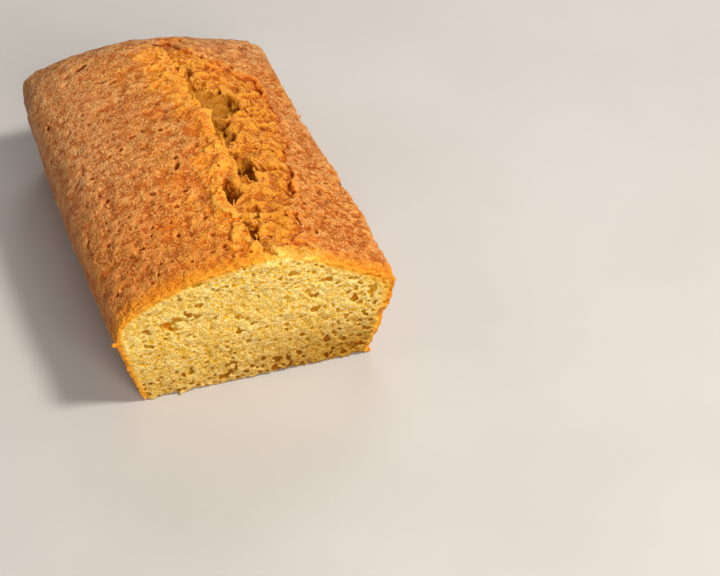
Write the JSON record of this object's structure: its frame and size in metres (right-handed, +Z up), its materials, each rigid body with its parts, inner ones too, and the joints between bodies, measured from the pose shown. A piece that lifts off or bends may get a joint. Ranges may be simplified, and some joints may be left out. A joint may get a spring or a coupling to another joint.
{
  "type": "olive oil loaf cake",
  "caption": "Golden loaf cake baked in a tin: domed top split along its crown, leaning sides, one end cut straight to show a fine yellow crumb.",
  "frame": {"origin": "middle of the underside, under the middle of the loaf's box", "axes": "+Z up; +Y along the loaf from the cut face to the uncut end, so the cut face looks along -Y; +X across the loaf, to the right seen from the cut end"},
  "size_m": [0.1266, 0.1956, 0.0671],
  "materials": {
    "cake": "matt, granular baked crust, tan brown with lighter orange specks; soft open yellow crumb where it is cut"
  },
  "bodies": {
    "root": {"loaf": "cake"}
  },
  "joints": []
}
